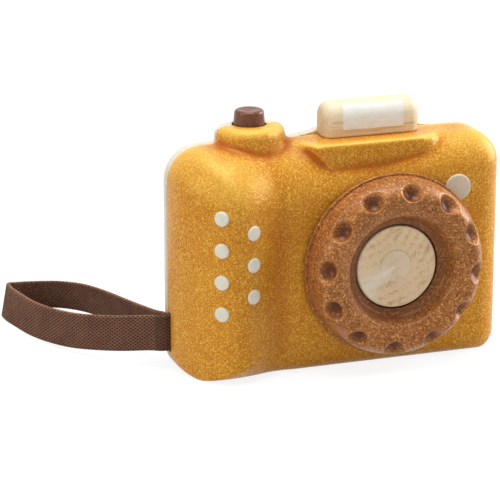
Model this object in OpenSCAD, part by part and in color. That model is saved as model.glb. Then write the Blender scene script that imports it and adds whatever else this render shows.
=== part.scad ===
// Pretend camera of moulded wood composite: two pressed shells, a turning lens ring,
// a sprung shutter button, a flash block, grip dots and a woven wrist strap.
// Millimetres, +Z up, the lens looks along -Y, the base lies on Z = 0.

/* [Body] */
// Width across the body
body_w = 121; // [115:1:128]
// Height from the base to the flat top
body_h = 81.5; // [79:0.5:88]
// Depth of the front shell, seam to lens face
front_depth = 22; // [21:0.5:25]
// Depth of the rear shell, seam to back
rear_depth = 13; // [13:0.5:17]
// Wall of the front shell
front_wall = 6; // [5.5:0.5:6.5]
// Wall of the rear shell
rear_wall = 5; // [4.5:0.5:5.5]
// Outline corner at the top left
corner_top_left = 13; // [12:0.5:15]
// Outline corner at the top right
corner_top_right = 10.5; // [9:0.5:13]
// Outline corners at the base
corner_base = 7; // [6.5:0.5:9]
// Rounding of the front edge along the top, left and middle
round_top_left = 20; // [16:0.5:20]
// Rounding of the front edge at the top, right end
round_top_right = 12; // [10:0.5:14]
// Rounding of the front edge down the left side
round_left = 19; // [17:0.5:20]
// Rounding of the front edge down the right side
round_right = 9; // [8:0.5:11]
// Rounding of the front edge along the base
round_base = 5.5; // [4.5:0.5:6.5]
// Rounding of that edge under the crest of the grip
round_grip = 9; // [8:0.5:10]
// Rounding of the rear edge along the top and the base
round_rear = 9; // [8:0.5:10]
// Rounding of the rear edge down both sides
round_rear_side = 11; // [10:0.5:11]
// Rise of the rear shell behind the flash
hump_h = 5; // [4:0.25:6]
// Half width of that rise
hump_half = 30; // [28:0.5:30]
// Diameter of the dowels that join the shells
dowel_d = 5; // [4:0.5:5]
// Length of those dowels
dowel_len = 12; // [10:0.5:12]

/* [Grip] */
// Swell of the grip in front of the lens face
grip_rise = 7; // [5:0.5:8]
// Crest of the grip from the left side
grip_inset = 17.6; // [17:0.1:18.5]
// Half width of the swell
grip_half = 20; // [19:0.5:21]
// Diameter of a grip dot
dot_d = 5.6; // [5:0.1:6.4]
// Height between dots of one column
dot_pitch = 11.6; // [10.6:0.2:12.2]
// Distance between the two columns
dot_spread = 11.2; // [10:0.2:12]
// Height of the pattern's middle
dot_z = 43.8; // [42:0.2:46]
// Length of a dot's peg in the shell
dot_depth = 5; // [4:0.5:6]
// Height of a dot above the shell
dot_proud = 0.6; // [0.3:0.1:0.8]

/* [Lens] */
// Lens axis from the middle of the body
lens_x = 16.5; // [14:0.5:18]
// Height of the lens axis
lens_z = 37.8; // [36.5:0.1:40]
// Diameter of the ring's flange
ring_d = 67; // [62:0.5:68]
// Height of the ring, back to crest
ring_h = 12.9; // [12:0.1:15]
// Thickness of the flange's rim
rim_h = 1.6; // [1.4:0.1:2]
// Step from the rim in to the shoulder
rim_step = 0.9; // [0.6:0.1:1.2]
// Diameter of the ring's crest
crest_d = 54; // [52:0.5:55]
// Diameter of the mouth of the recess
mouth_d = 42; // [40:0.5:44]
// Diameter of the recess around the lens disc
recess_d = 33; // [32.5:0.25:34]
// Rounding of the flange's rim
rim_edge = 0.4; // [0.2:0.1:0.5]
// Mouth of the recess below the crest
mouth_drop = 1.6; // [1.2:0.1:2]
// Lip of the recess below the crest
lip_drop = 3.2; // [2.8:0.1:3.4]
// Step of the recess below the crest
step_drop = 4.4; // [4:0.1:4.8]
// Top of the recess's wall below the crest
recess_drop = 8; // [7.5:0.1:8.5]
// Web that carries the ring on its axle
web_t = 2.7; // [2.4:0.1:3]
// Number of finger dimples
dimple_count = 12; // [10:1:14]
// Radius of the ball that scoops a dimple
dimple_ball = 5; // [4.75:0.05:5.5]
// Depth of a dimple
dimple_depth = 2.7; // [2:0.1:2.8]
// Place of the dimples up the shoulder, in degrees from the flange
dimple_lift = 66; // [50:1:70]
// Turn of the ring as it lies
ring_turn = -6; // [-15:1:15]
// Diameter of the lens disc
disc_d = 30.2; // [29.5:0.1:31]
// Thickness of the lens disc at its edge
disc_t = 2.2; // [2:0.1:2.6]
// Diameter of the flat middle of the disc
disc_flat_d = 11.5; // [10:0.5:13]
// Dish of the disc between edge and middle
disc_dish = 0.8; // [0.5:0.1:1]
// Diameter of the axle
axle_d = 12; // [10:0.5:12]
// Length of the axle inside the front shell
axle_len = 14; // [12:0.5:15]
// Thickness of the felt washer behind the ring
washer_t = 0.8; // [0.7:0.05:1]
// Outer diameter of the felt washer
washer_d = 32; // [26:1:34]

/* [Window] */
// Diameter of the window disc
window_d = 9.8; // [9:0.2:10.4]
// Window disc from the right side
window_inset = 18.5; // [17.5:0.25:19.5]
// Window disc above the lens axis
window_dz = 25.5; // [24.5:0.25:26]
// Height of the window disc above the face
window_proud = 0.65; // [0.4:0.05:0.65]
// Length of its peg in the shell
window_depth = 4; // [3.5:0.25:4.5]

/* [Flash] */
// Length of the flash block
flash_w = 36.6; // [35:0.1:37.5]
// Depth of the flash block, front to back
flash_d = 11.5; // [11:0.25:12]
// Height of the flash block
flash_h = 12.6; // [12.2:0.1:13.5]
// Middle of the flash block from the middle of the body
flash_x = 14.2; // [13:0.1:15]
// Front of the flash block from the seam
flash_front = 9.5; // [9:0.25:10]
// Radius of its front and top
flash_round = 5.6; // [5:0.1:5.75]
// Radius of its ends
flash_end = 4; // [3:0.25:4.5]
// Width of the white panel
panel_w = 22.9; // [20:0.1:25]
// Foot of the panel above the block's base
panel_foot = 2.9; // [2.5:0.1:3.4]
// Top of the panel below the block's top
panel_drop = 1.2; // [1:0.1:2]
// Thickness of the panel
panel_t = 0.4; // [0.3:0.05:0.6]
// Diameter of the dowels under the flash
flash_dowel_d = 5; // [4:0.5:5]
// Distance between those dowels
flash_dowel_gap = 18; // [14:1:20]
// Length of those dowels in the block
flash_dowel_up = 7; // [6:0.5:8]
// Length of those dowels in the shell
flash_dowel_down = 4.6; // [4:0.1:5]
// Width of the hood under the flash at its front
hood_w = 40; // [39:0.5:41]
// Width of the hood at its back
hood_back_w = 63; // [60:0.5:63]
// Front of the hood from the seam
hood_front = 18.5; // [17.5:0.25:19]
// Height of the hood's front
hood_h = 12; // [11:0.5:13]
// Lift of the hood above the flat top
hood_lift = 0.2; // [0.15:0.05:0.3]

/* [Shutter] */
// Shutter axis from the left side
button_inset = 31.1; // [29.5:0.1:32.5]
// Diameter of the button
button_d = 11.4; // [10.6:0.1:11.6]
// Taper of the button above its boss, per side
button_taper = 0.4; // [0.2:0.1:0.5]
// Height of the pressed button above its boss
button_stand = 2.2; // [1.5:0.1:3]
// Rounding of the button's top edge
button_edge = 1.4; // [1:0.1:2]
// Dish of the button's top
button_dish = 0.5; // [0.3:0.1:0.8]
// Travel of the button
button_travel = 3; // [2:0.1:3.5]
// Diameter of the boss round the button
boss_d = 25.6; // [25:0.1:25.8]
// Height of the boss above the flat top
boss_h = 6; // [5.5:0.1:6.5]
// Width of the boss's rounded shoulder
boss_round = 6.2; // [5.5:0.1:6.4]
// Wall of the guide bush
guide_wall = 1.4; // [1.2:0.1:1.5]
// Length of the guide bush
guide_len = 10.5; // [9.5:0.1:10.8]
// Overlap of the button's foot under the guide
foot_lap = 1.4; // [1.2:0.1:1.5]
// Thickness of the button's foot
foot_t = 2.5; // [2:0.1:3]
// Length of the spring at rest
spring_len = 19; // [17:0.5:21]
// Mean diameter of the spring
spring_d = 8; // [7.6:0.1:8.4]
// Diameter of the spring wire
spring_wire = 0.9; // [0.8:0.05:1]
// Turns of the spring
spring_turns = 7; // [6:1:8]
// Diameter of the spring seat
seat_d = 12.5; // [12:0.1:13]
// Thickness of the spring seat
seat_t = 3; // [2.5:0.1:3.5]
// Diameter of the spring seat's spigot
spigot_d = 5; // [4.6:0.1:5.2]
// Height of the spigot
spigot_h = 6; // [5:0.1:7]
// Thickness of the shelf under the seat
shelf_t = 5; // [4:0.5:6]

/* [Strap] */
// Width of the woven tape
strap_w = 13.5; // [12.5:0.1:14]
// Thickness of the tape
strap_t = 1.6; // [1.4:0.05:1.7]
// Foot of the slot above the base
slot_z = 6.4; // [6.2:0.1:6.8]
// Play of the tape in the slot's height
slot_play = 1.2; // [1:0.1:1.6]
// Depth of the slot from the seam
slot_d = 4; // [3.8:0.1:4.2]
// Diameter of the pin that holds the loop
pin_d = 4; // [3.6:0.1:4.4]
// Distance of the pin behind the wall
pin_inset = 3; // [2.6:0.1:3.4]
// Thickness of the bracket over the pin
bracket_t = 5; // [4:0.5:6]

/* [Eyepiece] */
// Diameter of the eyepiece
eye_d = 18; // [16:0.5:20]
// Height of the eyepiece above the back
eye_proud = 3; // [2.5:0.1:3.5]
// Height of its middle above the base
eye_z = 60; // [58:0.5:62]
// Diameter of its peg
eye_peg_d = 8; // [7:0.5:9]
// Length of its peg
eye_peg = 3.6; // [3:0.1:3.8]
// Diameter of the pale disc in it
eye_disc_d = 10; // [9:0.5:11]
// Thickness of the pale disc
eye_disc_t = 1.2; // [1:0.1:1.4]
// Dish around the pale disc
eye_dish = 0.8; // [0.5:0.1:1]

/* [Fits] */
// Gap for glue round a peg, per side
glue_gap = 0.05; // [0.03:0.01:0.08]
// Running gap of shafts, per side
run_gap = 0.06; // [0.04:0.01:0.09]
// Rest gap between faces of moving pieces
rest_gap = 0.2; // [0.15:0.05:0.3]

/* [Hidden] */

$fn = 64;
yellow = [0.85, 0.61, 0.2];
cream = [0.9, 0.84, 0.7];
brown = [0.5, 0.3, 0.2];
maple = [0.85, 0.74, 0.57];
bone = [0.84, 0.81, 0.74];
felt = [0.3, 0.28, 0.27];
steel = [0.7, 0.7, 0.72];
tape = [0.4, 0.27, 0.22];

// How far a cutting tool runs past the face it opens.
overrun = 1;
// The base of the outline before it is sanded flat on Z = 0.
base_trim = 0.3;
core_corner = 3;
least_round = 1;
// How far an inner rib is let into the wall that carries it.
root = 1;
left_side = -body_w / 2;
right_side = body_w / 2;
grip_x = left_side + grip_inset;
ring_gap = washer_t + rest_gap / 2;
front_reach = front_depth + ring_gap + ring_h;
rear_reach = rear_depth + eye_proud;
seam_y = (front_reach - rear_reach) / 2;

// Every module below draws with the seam on Y = 0; this sets the piece in the frame.
module place() translate([0, seam_y, 0]) children();

function mix(a, b, s) = a + (b - a) * s;
function ease(s) = (1 - cos(180 * min(1, max(0, s)))) / 2;

// Swell of the grip over the width, the depth of the front face and its slope.
function swell(x) = abs(x - grip_x) < grip_half ? (1 + cos(180 * (x - grip_x) / grip_half)) / 2 : 0;
function left_in(x) = max(0, left_side + round_left - x);
function face(x) = (front_depth - round_left + sqrt(pow(round_left, 2) - pow(left_in(x), 2)))
    * (1 + grip_rise / front_depth * swell(x));
function slope(x) = (face(x + rest_gap) - face(x - rest_gap)) / (2 * rest_gap);

// Stations along the top and the base of a shell, left to right.
arc_n = 8;
round_n = 8;
grip_n = 8;
fade_n = 12;
// The front edge's top rounding tightens from here, left of the lens axis, to the right end.
fade_lead = 10;
x_first = left_side + max(corner_top_left, core_corner + max(round_left, round_rear_side)) + least_round;
x_foot = grip_x + grip_half;
x_last = right_side - max(corner_top_right, core_corner + max(round_right, round_rear_side)) - least_round;
flat_xs = concat([for (i = [0:grip_n - 1]) mix(x_first, x_foot, i / grip_n)],
                 [for (i = [0:fade_n]) mix(x_foot, x_last, i / fade_n)]);
half_n = 2 * (arc_n + 1) + len(flat_xs);

// Roundings of a shell: left, right, top at the left, top at the right, base, base under the grip.
front_rounds = [round_left, round_right, round_top_left, round_top_right, round_base, round_grip];
rear_rounds = [round_rear_side, round_rear_side, round_rear, round_rear, round_rear, round_rear];

function inset_round(r, w) = max(least_round, r - w);
function top_round(x, w, rounds) =
    inset_round(mix(rounds[2], rounds[3], ease((x - lens_x + fade_lead) / (x_last - lens_x))), w);
function base_round(x, w, rounds) = inset_round(mix(rounds[4], rounds[5], swell(x)), w);
function hump(x) = abs(x - flash_x) < hump_half ? (1 + cos(180 * (x - flash_x) / hump_half)) / 2 : 0;

// One station: the point on the outline, the point on the core and the rounding between.
function corner_at(side, a, w, rounds, up) =
    let (x_edge = side < 0 ? left_side + w : right_side - w,
         z_edge = up ? body_h - w : (w > 0 ? w : -base_trim),
         s = up ? 1 : -1,
         c = max(least_round, (up ? (side < 0 ? corner_top_left : corner_top_right) : corner_base) - w),
         rs = inset_round(side < 0 ? rounds[0] : rounds[1], w),
         rz = up ? top_round(x_edge, w, rounds) : base_round(x_edge, w, rounds))
    [[x_edge - side * c + c * cos(a), z_edge - s * c + s * c * sin(a)],
     [x_edge - side * (rs + core_corner) + core_corner * cos(a),
      z_edge - s * (rz + core_corner) + s * core_corner * sin(a)],
     sqrt(pow(rs * cos(a), 2) + pow(rz * sin(a), 2))];
function flat_at(x, w, rounds, up, lift) =
    let (z_edge = up ? body_h - w + lift * hump(x) : (w > 0 ? w : -base_trim),
         rz = up ? top_round(x, w, rounds) : base_round(x, w, rounds))
    [[x, z_edge], [x, up ? z_edge - rz : z_edge + rz], rz];
function half_loop(w, rounds, up, lift) = concat(
    [for (i = [0:arc_n]) corner_at(-1, 180 - 90 * i / arc_n, w, rounds, up)],
    [for (x = flat_xs) flat_at(x, w, rounds, up, lift)],
    [for (i = [0:arc_n]) corner_at(1, 90 - 90 * i / arc_n, w, rounds, up)]);
function back_to_front(v) = [for (i = [len(v) - 1:-1:0]) v[i]];
function shell_ring(loop, k, depth, rise, start) = [for (s = loop)
    let (a = 90 * (k - 1) / round_n,
         p = k == 0 ? s[0] : s[1] + (s[0] - s[1]) * (k == round_n + 1 ? 0 : cos(a)),
         d = k == 0 ? -start : (depth - s[2] + s[2] * sin(a)) * (1 + rise / depth * swell(p[0])))
    [p[0], -d, p[1]]];

// A rounded half body from the seam forward: w insets it, start moves its open end, rise swells
// it into the grip and lift raises its top into the hump.
module half_body(w, depth, rise, rounds, start, lift = 0) {
    loop = concat(half_loop(w, rounds, true, lift), back_to_front(half_loop(w, rounds, false, 0)));
    n = len(loop);
    last = round_n + 1;
    points = [for (k = [0:last]) each shell_ring(loop, k, depth, rise, start)];
    sides = [for (k = [0:last - 1]) for (i = [0:n - 1])
        let (a = k * n + i, b = k * n + (i + 1) % n)
        each [[a, b, b + n], [a, b + n, a + n]]];
    face = [for (i = [0:half_n - 2])
        let (t = last * n + i, b = last * n + n - 1 - i) [t, t + 1, b - 1, b]];
    polyhedron(points = points, faces = concat(sides, face, [[for (i = [n - 1:-1:0]) i]]));
}

module front_side() intersection() {
    children();
    translate([-body_w, -body_w, -body_w]) cube([2 * body_w, body_w, 3 * body_w]);
}
module rear_side() intersection() {
    children();
    translate([-body_w, 0, -body_w]) cube([2 * body_w, body_w, 3 * body_w]);
}
module under_base() translate([-body_w, -body_w, -body_w]) cube([2 * body_w, 2 * body_w, body_w]);

// Quarter round between two points of a turned profile, bulging outwards.
function quarter(r0, z0, r1, z1, n) =
    [for (i = [0:n]) [mix(r1, r0, cos(90 * i / n)), mix(z0, z1, sin(90 * i / n))]];

// Shutter mechanism, all on the seam.
button_x = left_side + button_inset;
button_r = button_d / 2;
button_rise = boss_h + button_travel + button_stand;
guide_r = button_r + run_gap + guide_wall;
guide_z = body_h - front_wall - overrun;
foot_r = button_r + foot_lap;
foot_z = guide_z - rest_gap - foot_t;
seat_top = foot_z - spring_len;
seat_z = seat_top - seat_t;
shelf_margin = 1;
shelf_w = seat_d + 2 * shelf_margin;
boss_foot = body_h - round_rear - root;
module at_button() translate([button_x, 0, 0]) children();
module boss() at_button() rotate_extrude()
    polygon(concat([[0, boss_foot], [boss_d / 2, boss_foot]],
                   quarter(boss_d / 2, body_h,
                           boss_d / 2 - boss_round, body_h + boss_h, 6),
                   [[0, body_h + boss_h]]));
module button_bores() at_button() {
    translate([0, 0, guide_z - overrun])
        cylinder(h = guide_len + overrun + glue_gap, r = guide_r + glue_gap);
    translate([0, 0, guide_z]) cylinder(h = body_h, r = button_r + rest_gap);
}

// Dowels across the seam: top corners, base right, and base left clear of the strap pin.
post_wall = 2.5;
post_in = 13;
post_r = dowel_d / 2 + post_wall;
post_spots = [[left_side + post_in, body_h - 2 * post_in], [right_side - post_in, body_h - post_in],
              [right_side - post_in, post_in], [left_side + 2 * post_in, post_in]];
module at_posts() for (p = post_spots) translate([p[0], 0, p[1]]) rotate([90, 0, 0]) children();

// Lens frame: Z runs forward from the lens face on the lens axis.
module at_lens() translate([lens_x, -front_depth, lens_z]) rotate([90, 0, 0]) children();
axle_r = axle_d / 2;
ring_r = ring_d / 2;
crest_r = crest_d / 2;
mouth_r = mouth_d / 2;
recess_r = recess_d / 2;
disc_z = ring_gap + web_t + rest_gap;
axle_chamfer = 1;
axle_post_wall = 3;
// Places across the ring's front: its brow, and the lip and the step of the recess.
brow_share = 0.5;
lip_share = 0.75;
step_share = 0.5;

// Strap slot and pin at the left side.
pin_x = left_side + front_wall + pin_inset;
pin_y = -slot_d / 2;
pin_foot = front_wall / 2;
slot_top = slot_z + strap_w + slot_play;
bracket_gap = 1;
bracket_z = slot_top + bracket_gap;

// Grip dots: column, then place in the column from the top.
function dot_x(i) = grip_x + (i <= 4 ? -1 : 1) * dot_spread / 2;
function dot_h(i) = dot_z + (i <= 4 ? 2.5 - i : 6 - i) * dot_pitch;
module at_dot(i) translate([dot_x(i), -face(dot_x(i)), dot_h(i)])
    rotate([0, 0, -atan(slope(dot_x(i)))]) rotate([90, 0, 0]) children();

module at_window() translate([right_side - window_inset, -front_depth, lens_z + window_dz])
    rotate([90, 0, 0]) children();

// Flash block on the hood.
flash_base = body_h + hood_lift;
flash_mid = -flash_front + flash_d / 2;
flash_foot = 1;
module at_flash_dowels() for (s = [-1, 1])
    translate([flash_x + s * flash_dowel_gap / 2, flash_mid, 0]) children();
module loaf(grow) hull() for (s = [-1, 1]) {
    translate([flash_x + s * (flash_w / 2 - flash_end), flash_mid, flash_base + flash_h - flash_round])
        rotate([0, 90, 0]) rotate_extrude($fn = 40)
            polygon(concat([[0, -flash_end - grow]], [for (a = [-90:15:90])
                [flash_round - flash_end + (flash_end + grow) * cos(a), (flash_end + grow) * sin(a)]],
                [[0, flash_end + grow]]));
    for (e = [-1, 1])
        translate([flash_x + s * (flash_w / 2 - flash_end),
                   flash_mid + e * (flash_d / 2 - flash_end), flash_base])
            cylinder(h = flash_foot, r = flash_end + grow, $fn = 32);
}

module front_shell() color(yellow) place() difference() {
    union() {
        difference() {
            union() {
                half_body(0, front_depth, grip_rise, front_rounds, 0);
                front_side() boss();
                translate([lens_x, 0, body_h - hood_h]) linear_extrude(hood_h + hood_lift)
                    polygon([[-hood_back_w / 2, -overrun], [hood_back_w / 2, -overrun],
                             [hood_w / 2, -hood_front], [-hood_w / 2, -hood_front]]);
            }
            half_body(front_wall, front_depth - front_wall, 0, front_rounds, overrun);
        }
        at_lens() translate([0, 0, -axle_len - overrun])
            cylinder(h = axle_len, r = axle_r + axle_post_wall);
        at_posts() translate([0, 0, rest_gap]) cylinder(h = front_depth - front_wall - rest_gap, r = post_r);
        translate([button_x - shelf_w / 2, front_wall - front_depth - root, seat_z - shelf_t])
            cube([shelf_w, front_depth - front_wall + root - rest_gap, shelf_t]);
        translate([left_side + front_wall - root, pin_y - pin_d, bracket_z])
            cube([pin_inset + pin_d + root, pin_d - pin_y - rest_gap, bracket_t]);
    }
    button_bores();
    at_lens() translate([0, 0, -axle_len - 2 * overrun])
        cylinder(h = axle_len + 3 * overrun, r = axle_r + glue_gap);
    at_posts() cylinder(h = dowel_len / 2 + glue_gap, r = dowel_d / 2 + glue_gap);
    at_window() translate([0, 0, -window_depth - glue_gap])
        cylinder(h = window_depth + overrun, r = window_d / 2 + glue_gap);
    for (i = [1:7]) at_dot(i) translate([0, 0, -dot_depth - glue_gap])
        cylinder(h = dot_depth + 2 * overrun, r = dot_d / 2 + glue_gap);
    at_flash_dowels() translate([0, 0, flash_base - flash_dowel_down - glue_gap])
        cylinder(h = flash_dowel_down + overrun, r = flash_dowel_d / 2 + glue_gap);
    translate([left_side - overrun, -slot_d, slot_z])
        cube([front_wall + 2 * overrun, slot_d + overrun, strap_w + slot_play]);
    translate([pin_x, pin_y, pin_foot - glue_gap])
        cylinder(h = bracket_z + bracket_t + overrun - pin_foot, r = pin_d / 2 + glue_gap);
    under_base();
}

module rear_shell() color(cream) place() difference() {
    union() {
        difference() {
            union() {
                mirror([0, 1, 0]) half_body(0, rear_depth, 0, rear_rounds, 0, hump_h);
                rear_side() boss();
            }
            mirror([0, 1, 0]) half_body(rear_wall, rear_depth - rear_wall, 0, rear_rounds, overrun);
        }
        mirror([0, 1, 0]) at_posts() translate([0, 0, rest_gap])
            cylinder(h = rear_depth - rear_wall - rest_gap + root, r = post_r);
        translate([button_x - shelf_w / 2, rest_gap, seat_z - shelf_t])
            cube([shelf_w, rear_depth - rear_wall + root - rest_gap, shelf_t]);
    }
    translate([flash_x - flash_w / 2 - rest_gap, -overrun, flash_base])
        cube([flash_w + 2 * rest_gap, overrun + flash_d - flash_front + rest_gap, hump_h + overrun]);
    button_bores();
    mirror([0, 1, 0]) at_posts() cylinder(h = dowel_len / 2 + glue_gap, r = dowel_d / 2 + glue_gap);
    translate([lens_x, rear_depth - eye_peg - glue_gap, eye_z]) rotate([-90, 0, 0])
        cylinder(h = eye_peg + overrun, r = eye_peg_d / 2 + glue_gap);
    under_base();
}

module shell_dowels() color(maple) place() at_posts()
    translate([0, 0, -dowel_len / 2]) cylinder(h = dowel_len, d = dowel_d);

module grip_dot(i) color(bone) place() at_dot(i)
    translate([0, 0, -dot_depth]) cylinder(h = dot_depth + dot_proud, d = dot_d);

module window_disc() color(bone) place() at_window()
    translate([0, 0, -window_depth]) cylinder(h = window_depth + window_proud, d = window_d);

module flash_block() color(maple) place() difference() {
    loaf(0);
    at_flash_dowels() translate([0, 0, flash_base - overrun])
        cylinder(h = flash_dowel_up + overrun + glue_gap, r = flash_dowel_d / 2 + glue_gap);
}

module flash_panel() color(bone) place() difference() {
    intersection() {
        loaf(panel_t);
        translate([flash_x - panel_w / 2, -flash_front - overrun, flash_base + panel_foot])
            cube([panel_w, overrun + flash_d / 2, flash_h - panel_foot - panel_drop]);
    }
    loaf(0);
}

module flash_dowels() color(maple) place() at_flash_dowels()
    translate([0, 0, flash_base - flash_dowel_down])
        cylinder(h = flash_dowel_down + flash_dowel_up, d = flash_dowel_d);

module shutter_button() color(brown) place() at_button() rotate_extrude()
    polygon(concat([[0, foot_z], [foot_r, foot_z], [foot_r, foot_z + foot_t], [button_r, foot_z + foot_t]],
                   [[button_r, body_h + boss_h]],
                   quarter(button_r - button_taper, body_h + button_rise - button_edge,
                           button_r - button_taper - button_edge, body_h + button_rise, 5),
                   [[0, body_h + button_rise - button_dish]]));

module button_guide() color(maple) place() at_button() translate([0, 0, guide_z]) difference() {
    cylinder(h = guide_len, r = guide_r);
    translate([0, 0, -overrun]) cylinder(h = guide_len + 2 * overrun, r = button_r + run_gap);
}

// Round wire wound as a helix, six sides and eight rings to a turn.
wire_sides = 6;
turn_rings = 8;
wire_last = spring_turns * turn_rings;
wire_low = seat_top + spring_wire / 2 + glue_gap;
wire_high = foot_z - spring_wire / 2 - glue_gap;
function wire_at(k, r) = let (a = 360 * k / turn_rings)
    [r * cos(a), r * sin(a), mix(wire_low, wire_high, k / wire_last)];
wire_line = [for (k = [0:wire_last]) wire_at(k, spring_d / 2)];
spring_gap = min([for (k = [0:wire_last - turn_rings]) for (j = [k + turn_rings / 2:wire_last])
    norm(wire_line[j] - wire_line[k])]) - spring_wire;
echo(spring_gap = spring_gap);
module button_spring() color(steel) place() at_button() {
    points = [for (k = [0:wire_last]) for (j = [0:wire_sides - 1]) let (b = 360 * j / wire_sides)
        wire_at(k, spring_d / 2 + spring_wire / 2 * cos(b)) + [0, 0, spring_wire / 2 * sin(b)]];
    sides = [for (k = [0:wire_last - 1]) for (j = [0:wire_sides - 1])
        let (p = k * wire_sides + j, q = k * wire_sides + (j + 1) % wire_sides)
        each [[p, q, q + wire_sides], [p, q + wire_sides, p + wire_sides]]];
    polyhedron(points = points, faces = concat(sides, [[for (j = [wire_sides - 1:-1:0]) j],
        [for (j = [0:wire_sides - 1]) wire_last * wire_sides + j]]));
}

module spring_seat() color(maple) place() at_button() translate([0, 0, seat_z]) {
    cylinder(h = seat_t, d = seat_d);
    cylinder(h = seat_t + spigot_h, d = spigot_d);
}

// Ring profile from the hub out along the back, over the shoulder and into the recess.
module lens_ring() color(brown) place() at_lens() translate([0, 0, ring_gap]) difference() {
    rotate_extrude($fn = 96) polygon(concat(
        [[axle_r + run_gap, 0], [ring_r - rim_edge, 0], [ring_r, rim_edge], [ring_r, rim_h - rim_edge],
         [ring_r - rim_edge, rim_h]],
        quarter(ring_r - rim_step, rim_h, crest_r, ring_h, 10),
        [[mix(mouth_r, crest_r, brow_share), ring_h - rim_edge], [mouth_r, ring_h - mouth_drop],
         [mix(recess_r, mouth_r, lip_share), ring_h - lip_drop],
         [mix(recess_r, mouth_r, step_share), ring_h - step_drop], [recess_r, ring_h - recess_drop],
         [recess_r, web_t], [axle_r + run_gap, web_t]]));
    for (i = [0:dimple_count - 1]) rotate([0, 0, 90 + ring_turn + 360 * i / dimple_count])
        translate([mix(crest_r, ring_r - rim_step, cos(dimple_lift)), 0,
                   mix(rim_h, ring_h, sin(dimple_lift))])
            rotate([0, atan2((ring_h - rim_h) * cos(dimple_lift),
                             (ring_r - rim_step - crest_r) * sin(dimple_lift)), 0])
                translate([0, 0, dimple_ball - dimple_depth]) sphere(r = dimple_ball);
}

module lens_peg() color(maple) place() at_lens() rotate_extrude() polygon(
    [[0, -axle_len], [axle_r - axle_chamfer, -axle_len], [axle_r, axle_chamfer - axle_len], [axle_r, disc_z],
     [disc_d / 2, disc_z], [disc_d / 2, disc_z + disc_t - disc_dish],
     [disc_d / 2 - disc_dish, disc_z + disc_t],
     [disc_flat_d / 2, disc_z + disc_t - disc_dish], [0, disc_z + disc_t - disc_dish]]);

module friction_washer() color(felt) place() at_lens() difference() {
    cylinder(h = washer_t, d = washer_d);
    translate([0, 0, -overrun]) cylinder(h = washer_t + 2 * overrun, r = axle_r + rest_gap);
}

module strap_pin() color(maple) place() translate([pin_x, pin_y, pin_foot])
    cylinder(h = bracket_z + bracket_t - pin_foot, d = pin_d);

// Middle line of the tape: from the pin out of the slot, round the loop on the floor and back.
// Each point is set from the slot's mouth on the seam; the third value is the tape's lower edge and
// the last one is how far its upper edge leans into the loop.
slot_foot = slot_z + slot_play / 2;
near_y = -slot_d + (slot_d - 2 * strap_t) / 3 + strap_t / 2;
far_y = -(slot_d - 2 * strap_t) / 3 - strap_t / 2;
route = concat(
    [[front_wall + pin_inset - pin_d / 2 - rest_gap, near_y, slot_foot, 0], [0, near_y, slot_foot, 0]],
    [[-2.8, -2.4, 6.8, 0], [-6.6, 2, 6, 0], [-14, 9.7, 4.5, 0.3], [-21.5, 18.5, 3, 0.6],
     [-28, 27.5, 1.8, 0.9], [-33.5, 38, 0.8, 1.2], [-38, 49, 0.3, 1.4], [-40.7, 60, 0.1, 1.6],
     [-42.4, 69, 0.1, 1.8], [-42, 75.5, 0.1, 2.6], [-37.5, 78.6, 0.1, 4], [-31, 80, 0.1, 5],
     [-24.6, 79, 0.1, 5.2], [-17.6, 73.6, 0.6, 5], [-11.2, 62, 1.6, 4.2], [-7.8, 44.5, 3, 2.8],
     [-5.2, 24.5, 4.5, 1.4], [-2.9, 7.5, 6.2, 0.4]],
    [[-1.6, 1.6, slot_foot, 0], [0, far_y, slot_foot, 0],
     [front_wall + pin_inset - pin_d / 2 - rest_gap, far_y, slot_foot, 0]]);

// Smooth line through the points, three steps to a span.
span_n = 3;
function through(v, i, s) = let (p = v[max(0, i - 1)], q = v[i], r = v[i + 1], t = v[min(len(v) - 1, i + 2)])
    (2 * q + (r - p) * s + (2 * p - 5 * q + 4 * r - t) * s * s + (3 * q - p - 3 * r + t) * s * s * s) / 2;
line = concat([for (i = [0:len(route) - 2]) for (k = [0:span_n - 1]) through(route, i, k / span_n)],
              [route[len(route) - 1]]);
function side_of(v, i) = let (d = v[min(len(v) - 1, i + 1)] - v[max(0, i - 1)], n = norm([d[0], d[1]]))
    [-d[1] / n, d[0] / n];
module wrist_strap() color(tape) place() translate([left_side, 0, 0]) {
    n = len(line);
    half = strap_t / 2;
    points = [for (i = [0:n - 1])
        let (p = line[i], s = side_of(line, i) * half, foot = max(0, p[2]), q = [p[0], p[1]],
             r = q - side_of(line, i) * p[3], top = foot + sqrt(strap_w * strap_w - p[3] * p[3]))
        each [[each q - s, foot], [each q + s, foot], [each r + s, top], [each r - s, top]]];
    sides = [for (i = [0:n - 2]) for (j = [0:3]) let (a = 4 * i + j, b = 4 * i + (j + 1) % 4)
        each [[a, b, b + 4], [a, b + 4, a + 4]]];
    polyhedron(points = points, faces = concat(sides, [[3, 2, 1, 0], [for (j = [0:3]) 4 * (n - 1) + j]]));
}

eye_lip_share = 0.6;
module at_eye() translate([lens_x, rear_depth, eye_z]) rotate([-90, 0, 0]) children();
module eyepiece() color(brown) place() at_eye() rotate_extrude() polygon(
    [[0, -eye_peg], [eye_peg_d / 2, -eye_peg], [eye_peg_d / 2, 0], [eye_d / 2, 0],
     [eye_d / 2, eye_proud - eye_dish], [eye_d / 2 - eye_dish, eye_proud],
     [mix(eye_disc_d, eye_d, eye_lip_share) / 2, eye_proud],
     [eye_disc_d / 2 + glue_gap, eye_proud - eye_dish],
     [eye_disc_d / 2 + glue_gap, eye_proud - eye_dish - eye_disc_t],
     [0, eye_proud - eye_dish - eye_disc_t]]);
module eyepiece_disc() color(bone) place() at_eye()
    translate([0, 0, eye_proud - eye_dish - eye_disc_t]) cylinder(h = eye_disc_t, d = eye_disc_d);

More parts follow.
